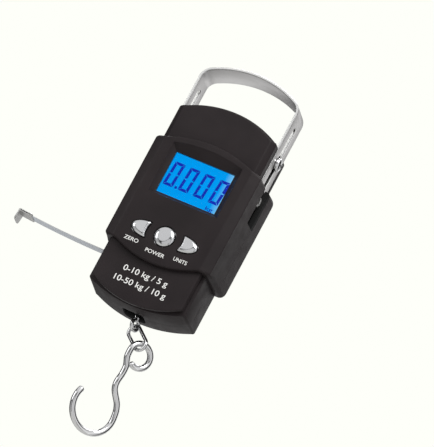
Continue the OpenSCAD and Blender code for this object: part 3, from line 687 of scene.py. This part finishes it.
def case(M):
    """The two covers, cut from one block, and the battery door."""
    stock = case_stock(M)
    cut(stock, cavity(M))
    cut(stock, block((-22.8, 1, -2.2), (22.8, 3.6, 31), M["case"]), "UNION")     # keeps a wall round the recess
    cut(stock, strap_space(M))
    cut(stock, eye_hole(M))

    rear = stock.copy()
    rear.data = stock.data.copy()
    bpy.context.scene.collection.objects.link(rear)

    front = cut(stock, block((-60, SPLIT_Y - 0.06, -90), (60, 60, 90), M["case"]))
    holes = (ccw(arc(0, KEY_Z, 6.3, 0, 360, 72)[:-1]), place(side_key(0.3), -KEY_X), place(side_key(0.3), KEY_X, True))
    cut(front, [recess(M)] + [facing(hole, KEY_HOLE, "key_hole", M["case"]) for hole in holes], smooth=28)
    front.name = front.data.name = "case_front"

    cut(rear, block((-60, -10, -90), (60, SPLIT_Y + 0.04, 90), M["case"]))
    post = [(0, 21.6), (3.9, 21.6), (3.9, 31.5), (0, 31.5)]
    cut(rear, [turned(post, P(x, 0, z), INTO, M["case"], 48) for x, z in SCREW_PLACES], "UNION")
    # the troughs and the walls between the cells are in the darker inner black: painted shade
    walls = []                        # the two troughs that the cells lie in
    for x in (-14.8, 14.8):
        trough = block((x - 6.2, 18.9, -11.2), (x + 6.2, 31.1, 39.6), M["inner"])
        walls.append(cut(trough, block((x - 5.5, 19.7, -10.2), (x + 5.5, 34, 38.6), M["inner"])))
    walls.append(block((-8.7, 24, -11.2), (8.7, 25, 39.6), M["inner"]))
    for z in (-11.2, 38.6):
        walls.append(block((-21.5, 24, z), (21.5, 31.1, z + 1), M["inner"]))
    cut(rear, walls, "UNION")
    mouth = [(31.2, 0), (32.85, 0), (33.0, 0.15), (34.5, 1.6)]
    tools = [facing(rounded_box(-22, 22, -13, 41, 1.2), mouth, "door_hole", M["case"]),
             block((-20.4, 25.1, -10.2), (20.4, 32, 38.6), M["case"])]
    bore = [(0, 26), (3, 26), (3, 32.8), (3.2, 33.0), (4.5, 34.5), (0, 34.5)]
    tools += [turned(bore, P(x, 0, z), INTO, M["case"], 48) for x, z in SCREW_PLACES]
    tools.append(block((-40, 21.4, -36.4), (-25, 31.0, -33.0), M["case"]))       # the tape's slot
    cut(rear, tools, smooth=28)
    rear.name = rear.data.name = "case_rear"
    ride(front, "case", "case_plastic", "front_cover")
    ride(rear, "case", "case_plastic", "rear_cover")

    edge = [(31.25, -0.15), (31.35, 0), (32.5, 0), (32.8, -0.1), (32.95, -0.3), (33, -0.5)]
    door = facing(rounded_box(-21.7, 21.7, -12.7, 40.7, 1.0), edge, "battery_lid", M["case"])
    grooves = []
    for z in (28.6, 31.0, 33.4, 35.8):
        groove = rounded_box(-8, 8, z - 0.6, z + 0.6, 0.55)
        grooves.append(facing(groove, [(32.4, -0.25), (32.6, 0), (33, 0.12), (34, 1)], "groove", M["case"]))
    cut(door, grooves)
    cut(door, block((-8, 29.7, -11.3), (8, 31.3, -10.4), M["case"]), "UNION")    # the door's tab
    ride(door, "battery_door", "case_plastic", "battery_door")


# ---- keys, display and print

def key_piece(x, mirror, name, M):
    """The cap of a side key: a flat top that is nearest the hollow side, with a broad slope round it."""
    steps = [(2.4, 0.0), (0.1, 0.0), (-0.15, 0.04), (-0.45, 0.16), (-0.75, 0.36), (-1.02, 0.62), (-1.26, 0.95),
             (-1.45, 1.3), (-1.54, 1.52), (-1.58, 1.66), (-1.6, 1.9), (-1.6, 2.6)]
    rings = [[P(a, y, b) for a, b in place(side_key(-d, 1.55, 0.55), x, mirror)] for y, d in steps]
    return loft(name, rings, M["key"], 24)


def keys(M):
    """The two side keys with their stems and flanges, and the round middle key."""
    for name, x, mirror in (("tare_key", -KEY_X, False), ("unit_key", KEY_X, True)):
        cap = key_piece(x, mirror, name + "_cap", M)
        stem = turned([(0, 2.2), (1.6, 2.2), (1.6, 6.4), (1.4, 6.5), (0, 6.5)], P(x, 0, KEY_Z), INTO, M["key"], 32)
        flange = facing(place(side_key(0.9), x, mirror), [(2.15, 0), (3.0, 0)], "flange", M["key"])
        ride(join(name + "_cap", [cap, stem, flange]), name, "chrome", name)
    dome = [(0, -1.6), (2.2, -1.6), (3.3, -1.59), (3.55, -1.56), (3.75, -1.49), (4.2, -1.36), (4.7, -1.15),
            (5.15, -0.88), (5.5, -0.56), (5.78, -0.2), (5.94, 0.15), (6.0, 0.5), (6.0, 2.15)]
    foot = [(6.9, 2.15), (6.9, 3.0), (1.6, 3.0), (1.6, 6.4), (0, 6.5)]
    o = turned(dome + foot, P(0, 0, KEY_Z), INTO, M["key"], 96, "power_key_cap", 24)
    ride(o, "power_key", "chrome", "power_key")


def text_mesh(name, text, material, thick, bold, spot, smoothness=12):
    """Raised text. spot gives the frame's point for each of the flat text's points."""
    data = bpy.data.curves.new(name, "FONT")
    data.body, data.align_x, data.size = text, "CENTER", 1.0
    data.extrude, data.offset, data.resolution_u = thick, bold, smoothness
    o = linked(name, data)
    bpy.context.view_layer.update()
    me = bpy.data.meshes.new_from_object(o)
    bpy.data.objects.remove(o)
    xs = [v.co.x for v in me.vertices]
    left, right = min(xs), max(xs)
    for v in me.vertices:
        v.co = spot(v.co, left, right)
    me.materials.clear()
    me.materials.append(material)
    return linked(name, me)


def lettering(name, text, x, z, width, cap, y, material, bold, slot="white_plastic"):
    """Text on the case, width wide and with capitals cap high, round the point x, z."""
    def spot(v, left, right):
        wide = (v.x - (left + right) / 2) * width / (right - left)
        return P(x + wide, y - v.z, z + (v.y - 0.35) * cap / 0.70)

    ride(text_mesh(name, text, material, 0.02, bold, spot, 6), "case", slot)


def segment_zero(x0, z0, a, b, t):
    """The six bars of a slanted seven-segment zero, a wide and b high, as flat outlines."""
    g, half, slant = 0.16, b / 2, math.tan(math.radians(4))
    bars = [[(g, b), (a - g, b), (a - t - g, b - t), (t + g, b - t)],
            [(t + g, t), (a - t - g, t), (a - g, 0), (g, 0)],
            [(0, b - g), (t, b - t - g), (t, half + t * 0.35), (0, half + 0.12)],
            [(a - t, b - t - g), (a, b - g), (a, half + 0.12), (a - t, half + t * 0.35)],
            [(0, half - 0.12), (t, half - t * 0.35), (t, t + g), (0, g)],
            [(a - t, half - t * 0.35), (a, half - 0.12), (a, g), (a - t, t + g)]]
    return [[(x0 + p + q * slant, z0 + q) for p, q in bar] for bar in bars]


def display(M):
    """The clear window, the lit glass behind it, and the figures between the two."""
    view = rounded_box(-17.95, 17.95, VIEW_Z - 12.45, VIEW_Z + 12.45, 0.4, 3)
    lens = facing(view, [(3.02, -0.25), (3.06, -0.08), (3.2, 0), (3.9, 0)], "display_lens", M["lens"])
    rim = rounded_box(-19.5, 19.5, VIEW_Z - 14, VIEW_Z + 14, 0.6, 3)
    plate = facing(rim, [(3.62, -0.1), (3.7, 0), (4.3, 0), (4.4, -0.1)], "plate", M["lens"])
    ride(cut(lens, plate, "UNION"), "case", "window", "display_window")
    glass = rounded_box(-19.5, 19.5, -0.3, 29.1, 0.3, 3)
    panel = facing(glass, [(4.52, -0.05), (4.58, 0), (5.5, 0)], "lcd_panel", M["lcd"])
    back = block((-19.6, 5.52, 0.8), (19.6, 6.2, 28.4), M["lcd"], 0.08)
    ride(join("lcd_panel", [panel, back]), "case", "lcd_blue", "lcd_glass")

    bars = []
    for i in range(4):
        bars += segment_zero(-17.2 + 9.3 * i, 7.4, 6.1, 14.8, 1.65)
    bars.append([(-9.95, 8.9), (-8.55, 8.9), (-8.55, 7.4), (-9.95, 7.4)])        # the decimal point
    pieces = [facing(ccw(b), [(4.44, -0.02), (4.46, 0), (4.52, 0)], "bar", M["segment"]) for b in bars]
    ride(join("lcd_digits", pieces), "case", "resin")
    lettering("lcd_unit", "kg", 13.6, 3.9, 4.4, 2.2, 4.47, M["segment"], 0.01, "resin")


def print_on_case(M):
    """The keys' labels on the face, and the two ranges on the lower part."""
    for name, text, x, z, width in (("label_left", "ZERO", -16.2, -30.0, 8.6),
                                    ("label_middle", "POWER", -0.4, -32.4, 11.6),
                                    ("label_right", "UNITS", 14.6, -31.1, 8.2)):
        lettering(name, text, x, z, width, 2.2, -0.012, M["ink"], 0.008)
    for name, text, z, width in (("range_low", "0-10 kg / 5 g", -45.4, 27.0),
                                 ("range_high", "10-50 kg / 10 g", -52.2, 31.5)):
        lettering(name, text, 0.2, z, width, 3.4, 2.735, M["ink"], 0.006)


# ---- strap and its hardware

STRAP_HALF, STRAP_T, CROWN_R, CORNER_R = 30.5, 1.5, 58.0, 8.0


def strap_path(inset):
    """The strap's bend from leg to leg: two corners joined by a flat crown."""
    half, bend_x = STRAP_HALF - inset, STRAP_HALF - CORNER_R
    cz = GRIP_Z + STRAP_T - CROWN_R
    rise = math.sqrt((CROWN_R - CORNER_R) ** 2 - bend_x ** 2)
    bend_z = cz + rise
    a = math.degrees(math.atan2(rise, bend_x))
    leg = (19.5, 19.9, 35, 50, bend_z - CORNER_R)
    pts = [(half, z) for z in leg]
    pts += arc(bend_x, bend_z, CORNER_R - inset, 0, a, 12)
    pts += arc(0, cz, CROWN_R - inset, a, 180 - a, 40)[1:-1]
    pts += arc(-bend_x, bend_z, CORNER_R - inset, 180 - a, 180, 12)
    return pts + [(-half, z) for z in leg[::-1]]


def lengths_along(path):
    total = [0.0]
    for a, b in zip(path, path[1:]):
        total.append(total[-1] + math.hypot(a[0] - b[0], a[1] - b[1]))
    return total


def strap(M):
    """The slotted strap, its rivets, and the screws of the strap and of the rear cover."""
    out, ins = strap_path(0), strap_path(STRAP_T)
    y0, y1, r, t = 10.75, 29.25, 0.32, STRAP_T
    n = len(out)
    lengths = lengths_along(out)
    verts, faces, uvs, picks = [], [], [], []
    section = []                      # (share from the outer face to the inner one, depth)
    for cu, cy, a0 in ((t - r, y0 + r, 270), (t - r, y1 - r, 0), (r, y1 - r, 90), (r, y0 + r, 180)):
        section += [(u / t, y) for u, y in arc(cu, cy, r, a0, a0 + 90, 3)]
    m = len(section)
    for i in range(n):
        for s, y in section:
            x = out[i][0] * (1 - s) + ins[i][0] * s
            z = out[i][1] * (1 - s) + ins[i][1] * s
            verts.append(P(x, y, z))
            uvs.append((lengths[i] / 100, y / 100))
    for i in range(n - 1):
        for k in range(m):
            j = (k + 1) % m
            faces.append((i * m + k, i * m + j, (i + 1) * m + j, (i + 1) * m + k))
            wide = abs(section[k][1] - section[j][1]) > 5
            picks.append(0 if wide else 1)
    faces.append(tuple(range(m - 1, -1, -1)))
    faces.append(tuple(range((n - 1) * m, n * m)))
    picks += [1, 1]
    o = add_mesh("strap", verts, faces, [M["strap"], M["edge"]], 30, uvs, picks)
    flares = ((27, 3.3), (28.95, 2.75), (29.15, 2.55), (29.3, 2.5), (30.2, 2.5), (30.35, 2.55), (30.55, 2.75), (32, 4))
    tools = []
    for s in (-1, 1):
        rings = [[P(s * x, y, z) for y, z in upright_slot(r, 32.5, 68.5, 15)] for x, r in flares]
        tools.append(loft("slot", rings, M["edge"]))
        tools.append(turned([(1.5, -4), (1.5, 4)], P(s * 29.75, STRAP_Y, RIVET_Z), (s, 0, 0), M["edge"], 32))
    cut(o, tools, smooth=30)
    ride(o, "handle", "strap_steel", "handle_strap")

    rivet = [(0, 24.2), (2.2, 24.3), (2.6, 24.6), (2.6, 25.3), (1.5, 25.35), (1.5, 30.5), (3.0, 30.52), (3.0, 31.5),
             (2.85, 31.95), (2.4, 32.3), (1.6, 32.6), (0.7, 32.7), (0, 32.7)]
    rivets = [turned(rivet, P(0, STRAP_Y, RIVET_Z), (s, 0, 0), M["tin"], 48) for s in (-1, 1)]
    ride(join("strap_rivets", rivets), "handle", "bright_steel", "handle_rivets")

    profile = [(0, 24.5), (1.5, 24.5), (1.5, 28.7), (2.2, 28.75), (2.2, 30.85), (3.9, 30.85), (4.0, 30.95), (4.0, 31.7),
               (3.93, 32.0), (3.72, 32.35), (3.3, 32.75), (2.7, 33.05), (1.8, 33.25), (0.8, 33.3), (0, 33.3)]
    heads = []
    for s in (-1, 1):
        head = turned(profile, P(0, STRAP_Y, SCREW_Z), (s, 0, 0), M["chrome"], 64)
        # the cross recess is the near-black non-metal: painted shade
        cross = []
        for w, h in ((2.3, 0.48), (0.48, 2.3)):
            ends = ((31.7, w * 0.55, h * 0.55), (36, w + 0.3, h + 0.3))
            rings = [[P(s * x, STRAP_Y + a * u, SCREW_Z + b * v) for a, b in ((-1, -1), (1, -1), (1, 1), (-1, 1))]
                     for x, u, v in ends]
            cross.append(loft("cross", rings, M["hole"]))
        heads.append(cut(head, cross, smooth=30))
    ride(join("strap_screws", heads), "case", "chrome", "handle_screws")

    profile = [(0, 11), (1.1, 11.4), (1.3, 12.5), (1.3, 26.0), (2.4, 26.02), (2.5, 26.15), (2.45, 26.7), (2.2, 27.2),
               (1.7, 27.5), (0, 27.6)]
    screws = []
    for x, z in SCREW_PLACES:
        screw = turned(profile, P(x, 0, z), INTO, M["tin"], 40)
        # the cross recess is the near-black non-metal: painted shade
        cross = [block((x - a, 26.7, z - b), (x + a, 29, z + b), M["hole"]) for a, b in ((1.5, 0.3), (0.3, 1.5))]
        screws.append(cut(screw, cross, smooth=30))
    ride(join("cover_screws", screws), "case", "bright_steel", "case_screws")


# ---- hook end

# the chain's turn about the upright, the link's tilt and sizes, and the eye's lean and reach below its pin
TURN, TILT, LINK_R, LINK_LEN, LINK_GAP, EYE_TILT, EYE_DROP = -23.5, 53.3, 3.6, 17.8, 2.25, 10.7, 10.8
WIRE_R, BEND_R, RING_R, END_R = 1.75, 13.4, 6.8, 0.45      # the hook's wire, bend, ring and rounded ends


def rot(axis, degrees):
    return Matrix.Rotation(math.radians(degrees), 4, axis)


def put(m, v):
    """A point in a piece's own layout as a point of the frame."""
    return P(*(m @ Vector(v)))


def spline(p, steps):
    """A smooth curve through the points p."""
    out = []
    for i in range(len(p) - 1):
        a, b, c, d = (Vector(p[min(max(i + k, 0), len(p) - 1)]) for k in (-1, 0, 1, 2))
        for k in range(steps):
            q = k / steps
            out.append(tuple(0.5 * (2 * b + (c - a) * q + (2 * a - 5 * b + 4 * c - d) * q * q
                                    + (3 * b - a - 3 * c + d) * q ** 3)))
    return out + [tuple(p[-1])]


def hook_chain(M):
    """The eye that hangs from its pin, the oval link and the hook."""
    to_case = Matrix.Translation((0, 21, -57.5)) @ rot("Y", -EYE_TILT)
    foot = to_case @ Vector((0, 0, -EYE_DROP - 3))

    # the eye: a forged ring that runs into a flattened lug, with its edges melted together
    m = to_case @ Matrix.Translation((0, 0, -EYE_DROP)) @ rot("Z", TURN)
    circle = [put(m, (0, 3 * math.cos(a), 3 * math.sin(a))) for a in turns(56)]
    ring = sweep(circle, [1.1 * MM] * 56, 24, M["chrome"], "ring", True, (1, 0, 0))

    def squared(v):
        return math.copysign(abs(v) ** 0.72, v)

    rings = []
    for z, wx, wy in ((2.6 - EYE_DROP, 1.15, 1.15), (4.2 - EYE_DROP, 1.5, 1.4), (6 - EYE_DROP, 1.75, 1.5),
                      (-4, 2.2, 1.5), (-2, 2.45, 1.5), (0, 2.5, 1.5), (1.4, 2.1, 1.5), (2.2, 1.2, 1.4), (2.5, 0.4, 1.2)):
        rings.append([put(to_case, (wx * squared(math.cos(a)), wy * squared(math.sin(a)), z)) for a in turns(32)])
    neck = loft("neck", rings, M["chrome"], 50)
    pin = put(to_case, (0, 0, 0))
    cut(neck, turned([(1.55, -4), (1.55, 4)], pin, put(to_case, (0, 1, 0)) - pin, M["chrome"], 32))
    cut(ring, neck, "UNION", 50)
    remesh = ring.modifiers.new("remesh", "REMESH")
    remesh.mode, remesh.voxel_size, remesh.use_smooth_shade = "VOXEL", 0.00014, True
    relax = ring.modifiers.new("relax", "SMOOTH")
    relax.factor, relax.iterations = 0.5, 5
    bpy.context.view_layer.objects.active = ring
    for name in ("remesh", "relax"):
        bpy.ops.object.modifier_apply(modifier=name)
    ring.name = ring.data.name = "eye_ring"
    ride(ring, "eye", "chrome", "hook_eye")

    # the link: a long closed loop of thin wire
    m = Matrix.Translation(foot) @ rot("Z", TURN) @ rot("Y", -TILT)
    leg = LINK_LEN - 2 * LINK_R
    top = LINK_GAP - LINK_R
    loop = arc(0, top, LINK_R, 0, 180, 24) + [(-LINK_R, top - leg * k / 8) for k in range(1, 8)]
    loop += arc(0, top - leg, LINK_R, 180, 360, 24) + [(LINK_R, top - leg + leg * k / 8) for k in range(1, 8)]
    link = sweep([put(m, (x, 0, z)) for x, z in loop], [1.0 * MM] * len(loop), 24, M["chrome"], "chain_link", True)
    ride(link, "link", "chrome", "hook_link")

    # the hook: one bent wire from its ring to its rounded tip
    t, u = math.radians(TILT), math.radians(TURN)
    along = Vector((math.sin(t) * math.cos(u), math.sin(t) * math.sin(u), -math.cos(t)))
    m = Matrix.Translation(foot + (LINK_LEN - LINK_GAP) * along) @ rot("Z", 45) @ Matrix.Translation((1.7, 2.5, -3.6))
    shank = [(-RING_R, -1), (-6.4, -4.6), (-4.4, -9), (-4.2, -14), (-4.8, -19.4), (-3.8, -23.4), (-1.3, -26.4),
             (1.4, -29.3), (3.2, -33.1), (4, -37.6)]
    path = arc(0, 0, RING_R, -116, 176, 64) + spline(shank, 8) + arc(4.1 - BEND_R, -39.3, BEND_R, 0, -206, 64)
    for _ in range(3):                # evens out the joins between the arcs and the shank
        path = path[:1] + evened(path, path[1:], path[2:]) + path[-1:]
    length = lengths_along(path)
    radii = []
    for d in (min(v, length[-1] - v) for v in length):
        shrink = 0 if d > END_R else 1 - math.sqrt(max(1 - (1 - d / END_R) ** 2, 0))
        radii.append((WIRE_R - END_R * shrink) * MM)
    hook = sweep([put(m, (x, 0, z)) for x, z in path], radii, 32, M["chrome"], "hook_wire")
    ride(hook, "hook", "chrome", "hook")


# ---- tape

# the slot's mouth, the blade's slow curve upward, its place in the case's depth, half its width and thickness,
# and its length outside the case
EXIT_X, EXIT_Z, CURL_R, TAPE_Y, HALF_W, HALF_T, TIP = -30.8, -34.7, 580.0, 26.6, 4.0, 0.15, 53.4


def tape_point(s, side=0.0):
    """A point on the blade, s millimetres outside the slot (negative inside), side millimetres above its middle."""
    if s <= 0:
        return EXIT_X - s, EXIT_Z + side
    a = s / CURL_R
    return EXIT_X - (CURL_R - side) * math.sin(a), EXIT_Z + CURL_R - (CURL_R - side) * math.cos(a)


def blade(M):
    """The blade from inside the case to its tip, with a printed top and a plain back."""
    stations = [-26.8 + i for i in range(27)] + [TIP * i / 60 for i in range(61)]
    cols = 8
    verts, faces, picks = [], [], []
    for s in stations:
        for sign in (1, -1):
            for q in (-1 + 2 * c / cols for c in range(cols + 1)):
                x, z = tape_point(s, sign * (HALF_T - (0.05 if abs(q) == 1 else 0)))
                verts.append(P(x, TAPE_Y + q * HALF_W, z))
    under = cols + 1
    row = 2 * under
    for a in (i * row for i in range(len(stations) - 1)):
        b = a + row
        for c in range(cols):
            d = under + c
            faces += [(a + c, a + c + 1, b + c + 1, b + c), (a + d, b + d, b + d + 1, a + d + 1)]
            picks += [0, 1]
        faces += [(a, b, b + under, a + under), (a + cols, a + row - 1, b + row - 1, b + cols)]
        picks += [0, 0]
    for a in (0, (len(stations) - 1) * row):
        faces.append(tuple([a + c for c in range(under)] + [a + row - 1 - c for c in range(under)]))
        picks.append(0)
    return add_mesh("measuring_tape", verts, faces, [M["tape_top"], M["tape_back"]], 40, None, picks)


def mark(s0, s1, y0, y1, material):
    """A raised bar of print that follows the blade from s0 to s1."""
    n = max(1, int(abs(s1 - s0) / 2))
    rings = []
    for s in (s0 + (s1 - s0) * k / n for k in range(n + 1)):
        corners = ((y0, -0.01), (y1, -0.01), (y1, 0.012), (y0, 0.012))
        points = [(tape_point(s, HALF_T + h), y) for y, h in corners]
        rings.append([P(x, y, z) for (x, z), y in points])
    return loft("mark", rings, material)


def tick_length(i, steps):
    """The first length whose spacing divides i."""
    return next(length for every, length in steps if i % every == 0)


def plate(outline, spot, thick, material):
    """A flat plate with softened edges. spot(u, v, w) gives the frame's point."""
    steps = ((0, -0.12), (0.08, 0), (thick - 0.08, 0), (thick, -0.12))
    return loft("plate", [[spot(u, v, w) for u, v in offset(outline, d)] for w, d in steps], material, 30)


def tape(M):
    """The measuring tape, its print and its end hook."""
    tape_blade = blade(M)
    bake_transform(tape_blade)
    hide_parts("tape_blade")

    zero = TIP - 1.0
    marks = []
    for i in range(1, 49):            # millimetres along the front edge
        s, long = zero - i, tick_length(i, ((10, 3.0), (5, 2.1), (1, 1.4)))
        marks.append(mark(s - 0.07, s + 0.07, TAPE_Y - HALF_W + 0.05, TAPE_Y - HALF_W + long, M["tick"]))
    for i in range(1, 31):            # sixteenths of an inch along the back edge
        s, long = zero - i * 25.4 / 16, tick_length(i, ((16, 3.2), (8, 2.4), (4, 1.8), (1, 1.1)))
        marks.append(mark(s - 0.09, s + 0.09, TAPE_Y + HALF_W - long, TAPE_Y + HALF_W - 0.05, M["tick"]))
    ride(join("tape_marks", marks), "tape_end", "resin")
    ride(mark(zero - 3.4, zero - 5.9, TAPE_Y - 0.9, TAPE_Y + 0.9, M["red"]), "tape_end", "red_wire").name = "tape_start"

    def figure(text, s, y, size):
        def spot(v, *_):
            x, z = tape_point(s - v.y * size + 0.3, HALF_T + 0.006 + v.z)
            return P(x, y + v.x * size, z)
        return text_mesh("figure", text, M["tick"], 0.006, 0.01, spot)

    figures = [figure(str(i), zero - 10 * i, TAPE_Y - 0.55, 2.025) for i in range(1, 5)]
    figures.append(figure("1", zero - 27, TAPE_Y + 1.5, 2.43))
    ride(join("tape_figures", figures), "tape_end", "resin")

    # the end hook: two plates that clasp the blade, a bend and a plate across its end
    m = (Matrix.Translation((EXIT_X, TAPE_Y, EXIT_Z + CURL_R)) @ rot("Y", math.degrees(TIP / CURL_R))
         @ Matrix.Translation((0, 0, -CURL_R)))
    half, steel = 4.5, M["steel"]
    clasp = rounded_box(-5.3, 3.0, -half, half, 0.8, 4)
    parts = [plate(clasp, lambda u, v, w, z=z: put(m, (u, v, z + w)), 0.48, steel) for z in (0.17, -0.65)]
    front = [(-half, -0.5), (half, -0.5), (half, -4.4)] + arc(3.0, -4.5, 1.5, 0, -90, 6)[1:]
    front += arc(-3.0, -4.5, 1.5, -90, -180, 6) + [(-half, -4.4)]
    parts.append(plate(ccw(front), lambda u, v, w: put(m, (w - 5.5, u, v)), 0.8, steel))
    corners = ((0.35, -half), (1.15, -half), (1.15, half), (0.35, half))
    bend = [[put(m, (-4.55 - r * math.sin(a), y, r * math.cos(a) - 0.5)) for r, y in corners]
            for a in (math.radians(90 * k / 8) for k in range(9))]
    parts.append(loft("bend", bend, steel, 40))
    ride(join("tape_tab", parts), "tape_end", "bright_steel", "tape_end_hook")
    profile = [(0, -0.85), (0.6, -0.8), (0.95, -0.66), (0.6, -0.64), (0.6, 0.64), (1.0, 0.66), (0.95, 0.8),
               (0.6, 0.93), (0, 0.97)]
    rivets = []
    for y in (-2.2, 2.2):
        base = put(m, (1.5, y, 0))
        rivets.append(turned(profile, base, put(m, (1.5, y, 1)) - base, M["tin"], 24))
    ride(join("tape_tab_rivets", rivets), "tape_end", "bright_steel", "tape_end_rivets")


# ---- inner parts keep their CAD shapes

def inner_parts(M):
    # the tape housing takes the darker inner black: its own black plastic, darkened as painted shade
    finishes = {
        "diffuser": "backlight", "led": "backlight_led", "zebra": "zebra_strips", "board": "main_board",
        "resin": "chip_blob", "parts": "board_parts", "alloy": "load_cell", "gauge": "strain_gauges",
        "tape_top": "tape_coil", "spool": "tape_spool", "spring": "recoil_spring", "inner": "tape_housing",
        "wrap": "battery_cells", "red_wire": "battery_leads", "green_wire": "sensor_leads",
        "steel": "load_frame eye_pin spool_axle tape_slot_guide",
        "tin": "dome_switches board_screws load_cell_screws battery_springs battery_plates",
    }
    for finish, nodes in finishes.items():
        for part in nodes.split():
            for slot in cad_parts[part].material_slots:
                slot.material = M[finish]


camera()
studio()
M = make_materials()
case(M)
keys(M)
display(M)
print_on_case(M)
strap(M)
hook_chain(M)
tape(M)
inner_parts(M)

# a pale floor far below the scale
pale, nodes, sockets = shader("pale_floor", (0.50, 0.50, 0.48), 0.8,
                              Emission_Color=(0.37, 0.37, 0.36, 1), Emission_Strength=1.0)
paint(nodes, sockets, noise(nodes, coords(nodes), 3), (0.48, 0.48, 0.46), (0.52, 0.52, 0.50))
floor = add_mesh("floor", [(-5, -5, -4.4), (5, -5, -4.4), (5, 5, -4.4), (-5, 5, -4.4)], [(0, 1, 2, 3)], pale)
